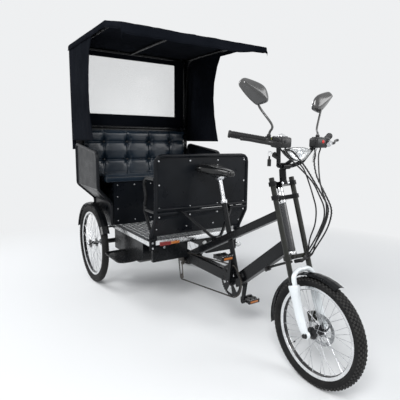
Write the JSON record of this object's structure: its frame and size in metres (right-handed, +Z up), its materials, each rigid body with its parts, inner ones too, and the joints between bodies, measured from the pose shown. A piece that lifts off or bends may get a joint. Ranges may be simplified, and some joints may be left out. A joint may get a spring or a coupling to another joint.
{
  "type": "cycle rickshaw",
  "caption": "Pedal tricycle taxi with a sprung front fork, a rider's saddle behind the handlebar, and a padded bench for passengers under a fabric canopy.",
  "frame": {"origin": "on the ground, in the middle of the object's length and width", "axes": "+X forward, +Y to the vehicle's left, +Z up"},
  "size_m": [2.6294, 1.12, 1.958],
  "materials": {
    "black_paint": "gloss powder coat",
    "satin_sheet": "satin",
    "silver": "satin",
    "tread_plate": "embossed",
    "white_cast": "white paint",
    "gunmetal": "satin",
    "rubber": "matte",
    "leather": "satin",
    "fabric": "matte",
    "clear": "clear",
    "plastic": "satin",
    "amber": "gloss"
  },
  "bodies": {
    "frame": {"backrest": "leather", "canopy_frame": "black_paint", "canopy_rear": "fabric", "canopy_roof": "fabric", "canopy_side_left": "fabric", "canopy_side_right": "fabric", "chain": "silver", "chassis": "black_paint", "down_beam": "black_paint", "drive_motor": "gunmetal", "drive_sprocket": "gunmetal", "floor_plate": "tread_plate", "frame_cables": "rubber", "front_reflector": "amber", "grab_hoop_left": "black_paint", "grab_hoop_right": "black_paint", "head_tube": "black_paint", "lower_beam": "black_paint", "partition": "black_paint", "partition_stays": "black_paint", "rear_axle": "black_paint", "rear_board": "black_paint", "rear_fender_left": "black_paint", "rear_fender_right": "black_paint", "rear_window": "clear", "saddle": "leather", "seat_box": "satin_sheet", "seat_clamp": "silver", "seat_cushion": "leather", "seat_post": "black_paint", "seat_tube": "black_paint", "side_guard_left": "black_paint", "side_guard_right": "black_paint", "side_step_left": "black_paint", "side_step_right": "black_paint", "upper_beam": "black_paint"},
    "steering": {"fork_crown": "gunmetal", "top_clamp": "black_paint", "fork_lowers": "white_cast", "front_fender": "black_paint", "handlebar": "black_paint", "grip_left": "rubber", "grip_right": "rubber", "control_left": "plastic", "control_right": "plastic", "front_lamp": "silver", "mirror_left": "plastic", "mirror_right": "plastic", "brake_caliper": "gunmetal", "bell": "silver", "steering_cables": "rubber"},
    "front_wheel_body": {"front_tyre": "rubber", "front_wheel": "silver"},
    "rear_wheel_left_body": {"rear_tyre_left": "rubber", "rear_wheel_left": "silver"},
    "rear_wheel_right_body": {"rear_tyre_right": "rubber", "rear_wheel_right": "silver"},
    "crank": {"crankset": "black_paint"},
    "pedal_left_body": {"pedal_left": "plastic"},
    "pedal_right_body": {"pedal_right": "plastic"}
  },
  "joints": [
    {"name": "steering_turn", "type": "hinge", "parent": "frame", "child": "steering", "pos_m": [0.86121, 0, 0.61776], "axis": [-0.3256, 0, 0.9455], "range_deg": [-45, 45]},
    {"name": "front_wheel_spin", "type": "hinge", "parent": "steering", "child": "front_wheel_body", "pos_m": [1.04266, 0, 0.272], "axis": [0, 1, 0], "continuous": true},
    {"name": "rear_wheel_left_spin", "type": "hinge", "parent": "frame", "child": "rear_wheel_left_body", "pos_m": [-0.97534, 0.459, 0.328], "axis": [0, 1, 0], "continuous": true},
    {"name": "rear_wheel_right_spin", "type": "hinge", "parent": "frame", "child": "rear_wheel_right_body", "pos_m": [-0.97534, -0.459, 0.328], "axis": [0, 1, 0], "continuous": true},
    {"name": "crank_turn", "type": "hinge", "parent": "frame", "child": "crank", "pos_m": [0.41866, 0, 0.349], "axis": [0, 1, 0], "continuous": true},
    {"name": "pedal_left_spin", "type": "hinge", "parent": "crank", "child": "pedal_left_body", "pos_m": [0.395, 0.069, 0.18065], "axis": [0, 1, 0], "continuous": true},
    {"name": "pedal_right_spin", "type": "hinge", "parent": "crank", "child": "pedal_right_body", "pos_m": [0.44232, -0.069, 0.51735], "axis": [0, 1, 0], "continuous": true}
  ]
}
